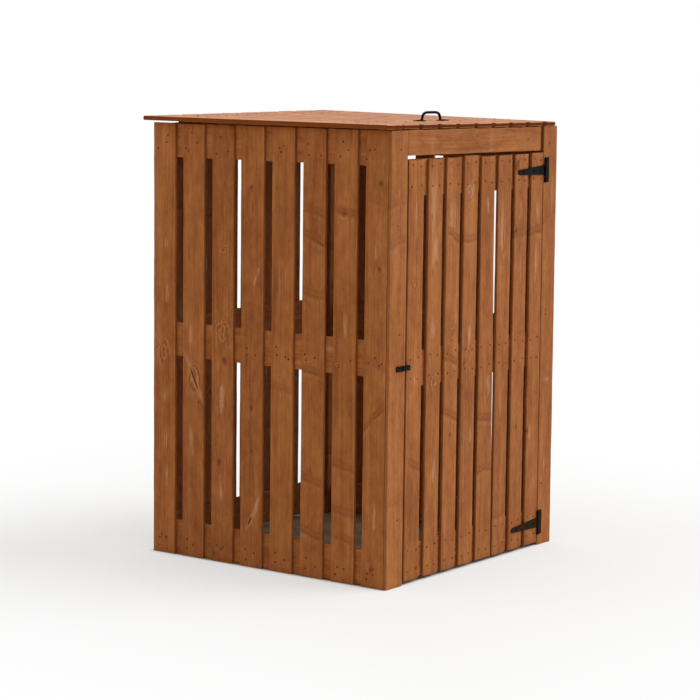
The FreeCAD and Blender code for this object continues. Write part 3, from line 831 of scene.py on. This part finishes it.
class LidShape:
    """The lid's own slope and the twist that its boards have taken at its four corners."""

    level = 0.75  # of a face's normal, and above it the face counts as top or underside
    thick = 10 * MM
    extra = 1.8 * MM
    front_lift = (2.5 * MM, -0.6 * MM)
    back_lift = (-3.6 * MM, 3.6 * MM)

    def __init__(self):
        self.low, self.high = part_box("lid_boards")
        self.slope = (self.high.z - self.low.z - self.thick) / (self.high.y - self.low.y)

    def lift(self, x, y):
        s = (x - self.low.x) / (self.high.x - self.low.x)
        t = (y - self.low.y) / (self.high.y - self.low.y)
        return mix(mix(*self.front_lift, s), mix(*self.back_lift, s), t)

    def warp(self, mesh):
        """Tilts and twists a piece drawn on a level lid, whose underside is at the box's low side."""
        for vertex in mesh.vertices:
            x, y, _ = vertex.co
            vertex.co.z += (y - self.low.y) * self.slope + self.lift(x, y)


class BINSTORE_OT_lid(bpy.types.Operator):
    """Makes the lid's ten boards and two battens"""

    bl_idname = "binstore.lid"
    bl_label = "Lid"

    width: length_setting("Width", "Width of a board", 74 * MM)
    joint: length_setting("Joint", "Joint between the first two boards", 1 * MM)
    gap: length_setting("Gap", "Gap between the other boards", 13.3 * MM)

    def execute(self, context):
        lid = LidShape()
        # Painted light: the lid's top and underside faces and its battens take this lightened timber
        timber = stained_timber("lid_timber", LID_PAINTED_LIGHT_SHARES, gloss=0.45, specular=0.38, rim_painted_shade=0.3)
        rim_painted_shade = stained_timber("lid_rim_painted_shade", LID_RIM_PAINTED_SHADE_SHARES, gloss=0.7, specular=0.05, rim_painted_shade=0.6)
        start = lid.low.x
        number = 0
        while start < lid.high.x - self.gap:
            number += 1
            end = min(start + self.width, lid.high.x)
            low = Vector((start, lid.low.y, lid.low.z - lid.extra))
            high = Vector((end, lid.high.y, lid.low.z + lid.thick))
            high.y -= 2.0 * MM * abs(wave(number * 1.3, 21))
            low.y += 1.2 * MM * wave(number * 2.3, 22)
            made = board(
                "lid_slat_%d" % number, "lid_boards", low, high, ALONG_Y, 120 + number, timber, "lid",
                "lid_timber", tone=0.12 * wave(number * 1.1, 23), twist=0.8 * wave(number * 1.7, 24),
                ragged=1.8, arris=2.0, end=3.4)
            lid.warp(made.data)
            # The edges and ends take a second material, which paints shade on them
            made.data.materials.append(rim_painted_shade)
            for face in made.data.polygons:
                face.material_index = 0 if abs(face.normal.z) > lid.level else 1
            start = end + (self.joint if number == 1 else self.gap)
        for k, node in enumerate(("lid_batten_front", "lid_batten_back")):
            a, b = flat_box(node)
            height = b.z - a.z - lid.slope * (b.y - a.y)
            a.z, b.z = lid.low.z - lid.extra - height, lid.low.z - lid.extra
            made = board(
                "lid_crossbatten_%d" % (k + 1), node, a, b, ALONG_X, 140 + k, timber, "lid", "lid_timber")
            lid.warp(made.data)
        return {"FINISHED"}


# Ironmongery

def lofted(mesh, rings):
    """A solid through rings of places."""
    joined(mesh, [[mesh.verts.new(place) for place in ring] for ring in rings])


def circle(centre, radius, across, around, count):
    """Places round a centre, from one direction towards another."""
    turns = [math.tau * k / count for k in range(count)]
    return [centre + (across * math.cos(t) + around * math.sin(t)) * radius for t in turns]


def foot_plate(mesh, side, inner, outer, half, thick, base):
    """One of the handle's flat feet, rounded at its outer end and softened round its top edge."""
    steps = 12
    outline = [(inner, -half), (outer - half, -half)]
    for step in range(1, steps):
        turn = math.pi * (step / steps - 0.5)
        outline.append((outer - half + half * math.cos(turn), half * math.sin(turn)))
    outline += [(outer - half, half), (inner, half)]
    middle = Vector(((inner + outer) / 2, 0))

    def ring(shrink, height):
        moved = [Vector(p) + (middle - Vector(p)).normalized() * shrink for p in outline]
        return [(base.x + side * p.x, base.y + p.y, base.z + height) for p in moved]

    lofted(mesh, [
        ring(0.0, 0.0), ring(0.0, thick * 0.6), ring(0.3 * MM, thick * 0.88), ring(1.0 * MM, thick)])


def round_bar(mesh, path, radius):
    """A round bar swept along points that lie in one plane across Y."""
    rings = []
    for i, point in enumerate(path):
        ahead = (path[min(i + 1, len(path) - 1)] - path[max(i - 1, 0)]).normalized()
        rings.append(circle(point, radius, AXES[1], ahead.cross(AXES[1]), count=14))
    lofted(mesh, rings)


def loose_parts(mesh):
    """The corner points of each separate solid in a mesh."""
    keys = {}
    steps = 20000  # per metre, and points within a step count as one
    ids = [keys.setdefault(tuple(round(c * steps) for c in v.co), len(keys)) for v in mesh.vertices]
    parent = list(range(len(keys)))

    def root(i):
        while parent[i] != i:
            parent[i] = parent[parent[i]]
            i = parent[i]
        return i

    for face in mesh.polygons:
        first = root(ids[face.vertices[0]])
        for v in face.vertices:
            parent[root(ids[v])] = first
    parts = {}
    for v in mesh.vertices:
        parts.setdefault(root(ids[v.index]), []).append(v.co)
    return list(parts.values())


def nail_spots(node, axis, sign):
    """The middles of a group's nail heads; without a sign, each faces away from the store's middle."""
    spots = []
    for points in loose_parts(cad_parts[node].data):
        out = sign if sign else (1 if points[0][axis] > 0 else -1)
        head = max(p[axis] * out for p in points) * out
        middle = sum(points, Vector()) / len(points)
        middle[axis] = head
        spots.append((middle, AXES[axis] * out))
    return spots


# A nail head's outline: shares of its radius, and heights in millimetres

NAIL_PROFILE = ((0.8, -1.2), (1.0, 0.0), (0.98, 0.28), (0.8, 0.5), (0.45, 0.52), (0.2, 0.42))


def nail_heads(name, node, spots, body, finish):
    """Driven nail heads, each a shallow dome with a dished middle and a slight tilt."""
    radius = bpy.context.scene.bin_iron.nail_radius
    dice = random.Random(name)
    mesh = bmesh.new()
    for place, out in spots:
        tilt = Vector([dice.uniform(-0.1, 0.1) for _ in range(3)])
        out = (out + tilt).normalized()
        across = out.orthogonal().normalized()
        around = out.cross(across)
        size = radius * dice.uniform(0.88, 1.12)
        lofted(mesh, [
            circle(place + out * (height * MM), size * share, across, around, count=12)
            for share, height in NAIL_PROFILE])
    piece(made_mesh(name, mesh, 50), finish, body, node)


class BINSTORE_OT_nails(bpy.types.Operator):
    """Makes the driven nail heads of the panels, the front, the door and the lid"""

    bl_idname = "binstore.nails"
    bl_label = "Nails"

    def execute(self, context):
        steel = nail_finish("nail_heads", tuple(context.scene.bin_iron.nail))
        deep_stain = tuple(tinted(context.scene.bin_timber.stain_deep, (0.8, 0.8, 0.8)))
        stained = nail_finish("stained_nail_heads", deep_stain)
        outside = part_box("left_board_1")[0].x
        spots = [(place, out) for place, out in nail_spots("side_nails", 0, 0) if out.x > 0]
        for y, z in SIDE_NAIL_SPOTS:
            place = CARCASS_CORNER + Vector((0, y * MM, z * MM))
            place.x = outside
            spots.append((place, -AXES[0]))
        nail_heads("side_nail_heads", "side_nails", spots, "frame", steel)
        nail_heads("back_nail_heads", "back_nails", nail_spots("back_nails", 1, 1), "frame", steel)
        low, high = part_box("front_rail")
        rail, posts = [], []
        for place, out in nail_spots("front_nails", 1, -1):
            on_rail = low.x < place.x < high.x and low.z < place.z < high.z
            (rail if on_rail else posts).append((place, out))
        nail_heads("front_nail_heads", "front_nails", posts, "frame", steel)
        nail_heads("rail_nail_heads", "front_nails", rail, "frame", stained)
        nail_heads("door_nail_heads", "door_nails", nail_spots("door_nails", 1, -1), "door", steel)
        lid = LidShape()
        spots = nail_spots("lid_nails", 2, 1)
        for place, _ in spots:
            place.z += lid.lift(place.x, place.y)
        nail_heads("lid_nail_heads", "lid_nails", spots, "lid", steel)
        return {"FINISHED"}


class BINSTORE_OT_handle(bpy.types.Operator):
    """Makes the bow handle on the lid and settles its screws on the twisted boards"""

    bl_idname = "binstore.handle"
    bl_label = "Handle"

    bar: length_setting("Bar", "Thickness of the round bar", 7.5 * MM)
    foot: length_setting("Foot", "Thickness of the flat feet", 2.8 * MM)

    def execute(self, context):
        lid = LidShape()
        low, high = flat_box("lid_handle")
        base = Vector(((low.x + high.x) / 2, (low.y + high.y) / 2, low.z))
        reach = (high.x - low.x) / 2
        half = (high.y - low.y) / 2
        radius = self.bar / 2
        base.z += lid.lift(base.x, base.y)
        mesh = bmesh.new()
        for side in (-1, 1):
            foot_plate(mesh, side, 36 * MM, reach, half, self.foot, base)

        # The left half of the bow is one Bezier curve, in millimetres from its base, and the right mirrors it
        top = (high.z - low.z - radius) / MM
        bend = [Vector(p) * MM for p in ((-44, 0, 1.6), (-43, 0, 17), (-37, 0, top), (-16, 0, top))]
        path = [base + p for p in geometry.interpolate_bezier(*bend, 14)]
        path += [Vector((2 * base.x - p.x, p.y, p.z)) for p in reversed(path)]
        round_bar(mesh, path, radius)
        piece(made_mesh("bow_handle", mesh), black_iron(), "lid", "lid_handle")
        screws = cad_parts["lid_screws"].data.copy()
        screws.name = "handle_and_leaf_screws"
        screws.materials.clear()
        for vertex in screws.vertices:
            if vertex.co.y < (lid.low.y + lid.high.y) / 2:
                vertex.co.z += lid.lift(vertex.co.x, vertex.co.y)
        piece(screws, black_iron(), "lid", "lid_screws")
        return {"FINISHED"}


class BINSTORE_OT_ironmongery(bpy.types.Operator):
    """Paints the hinges, pins, turn button and screws"""

    bl_idname = "binstore.ironmongery"
    bl_label = "Ironmongery"

    def execute(self, context):
        for name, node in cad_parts.items():
            if any(word in name for word in ("hinge", "button", "frame_screws", "door_screws")):
                node.data.materials.clear()
                node.data.materials.append(black_iron())
        return {"FINISHED"}


# Stage

def seen_directly(g):
    """1 for what the camera sees straight, in gloss or through glass, and 0 for light on the object."""
    camera, gloss, glass = (
        g.node("ShaderNodeLightPath", out="Is %s Ray" % kind)
        for kind in ("Camera", "Glossy", "Transmission"))
    return g.maths("MAXIMUM", g.maths("MAXIMUM", camera, gloss), glass)


class BINSTORE_OT_stage(bpy.types.Operator):
    """Sets the pale floor, the soft lamp, the white surroundings and the camera"""

    bl_idname = "binstore.stage"
    bl_label = "Stage"

    def execute(self, context):
        stage = context.scene.bin_stage
        self.floor(stage)
        self.surroundings(context.scene, stage)
        lamp = bpy.data.lights.new("key_lamp", "SUN")
        lamp.energy = stage.key_strength
        lamp.angle = stage.key_angle
        placed("key_lamp", lamp).rotation_euler = Vector(stage.key_turn).to_track_quat("Z", "Y").to_euler()
        self.camera(context.scene, stage)
        return {"FINISHED"}

    def floor(self, stage):
        """Pale all round, with mottled painted shade under the store, and white to the camera away from it.
        """
        low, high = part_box("left_board_1")[0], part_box("right_boards")[1]
        middle = (low + high) / 2
        half = (high - low) / 2
        g = Graph(bpy.data.materials.new("pale_floor"))
        place = g.node("ShaderNodeTexCoord", out="Object")
        x, y, _ = g.split(place)
        outside = g.maths("MAXIMUM", abs(x - middle.x) - half.x, abs(y - middle.y) - half.y)
        mottle = g.noise(place, scale=9.0, detail=3.0)
        grit = g.noise(place, scale=60.0, detail=3.0)
        # Painted shade: the floor under the store is darker and browner, mottled, to stand for the store's
        # shadow
        deeper_painted_shade = tinted(stage.shaded_floor, (0.6, 0.6, 0.6))
        painted_shade_under_store = g.blend(g.ease(mottle + (grit - 0.5) * 0.5, 0.25, 0.75), deeper_painted_shade, stage.shaded_floor)
        colour = g.blend(g.ease(outside, -0.01, 0.01), painted_shade_under_store, stage.floor)
        diffuse = g.node("ShaderNodeBsdfDiffuse", None, {"Color": colour})
        white = g.node("ShaderNodeEmission", None, {"Color": (1, 1, 1), "Strength": 1.0})
        lift = g.ease(outside, -0.005, 0.02, 0.0, 0.5) + g.ease(outside, 0.0, 1.6, 0.0, 0.5)
        mixed = g.node("ShaderNodeMixShader", None, {0: seen_directly(g) * lift, 1: diffuse, 2: white})
        g.node("ShaderNodeOutputMaterial", None, {"Surface": mixed})
        mesh = bpy.data.meshes.new("floor")
        reach = 14
        corners = [(x * reach, y * reach, 0) for x, y in ((-1, -1), (1, -1), (1, 1), (-1, 1))]
        mesh.from_pydata(corners, [], [(0, 1, 2, 3)])
        mesh.materials.append(g.owner)
        made = placed("floor", mesh)
        made.location.z = -0.4 * MM

    def surroundings(self, scene, stage):
        scene.world = bpy.data.worlds.new("white_surroundings")
        g = Graph(scene.world)
        strength = stage.sky + seen_directly(g) * (1 - stage.sky)
        shade = g.node("ShaderNodeBackground", None, {"Color": (1, 1, 1), "Strength": strength})
        g.node("ShaderNodeOutputWorld", None, {"Surface": shade})

    def camera(self, scene, stage):
        lens = bpy.data.cameras.new("camera")
        lens.sensor_width = 36
        lens.lens = stage.lens
        lens.clip_end = 100
        turn = Matrix.Rotation(-stage.azimuth, 4, "Z")
        tilt = Matrix.Rotation(math.pi / 2 - stage.elevation, 4, "X")
        lean = Matrix.Rotation(stage.roll, 4, "Z")
        place = Matrix.Translation(stage.camera_place) @ turn @ tilt @ lean
        scene.camera = placed("camera", lens)
        scene.camera.matrix_world = place
        scene.view_settings.view_transform = "Standard"


class BINSTORE_PT_panel(bpy.types.Panel):
    """Lists the bin store's operators in the order that they run"""

    bl_idname = "BINSTORE_PT_panel"
    bl_label = "Bin Store"
    bl_space_type = "VIEW_3D"
    bl_region_type = "UI"
    bl_category = "Bin Store"

    def draw(self, context):
        for operator in OPERATORS:
            self.layout.operator(operator.bl_idname)


SETTINGS = {"bin_timber": TimberSettings, "bin_iron": IronSettings, "bin_stage": StageSettings}
OPERATORS = (
    BINSTORE_OT_left_panel,
    BINSTORE_OT_right_panel,
    BINSTORE_OT_back_panel,
    BINSTORE_OT_front_frame,
    BINSTORE_OT_door,
    BINSTORE_OT_lid,
    BINSTORE_OT_nails,
    BINSTORE_OT_handle,
    BINSTORE_OT_ironmongery,
    BINSTORE_OT_stage,
)
CLASSES = (*SETTINGS.values(), *OPERATORS, BINSTORE_PT_panel)


def register():
    for cls in CLASSES:
        bpy.utils.register_class(cls)
    for name, cls in SETTINGS.items():
        setattr(bpy.types.Scene, name, bpy.props.PointerProperty(type=cls))


def unregister():
    for name in SETTINGS:
        delattr(bpy.types.Scene, name)
    for cls in reversed(CLASSES):
        bpy.utils.unregister_class(cls)


def main():
    register()
    for operator in OPERATORS:
        group, action = operator.bl_idname.split(".")
        getattr(getattr(bpy.ops, group), action)()


if __name__ == "__main__":
    main()
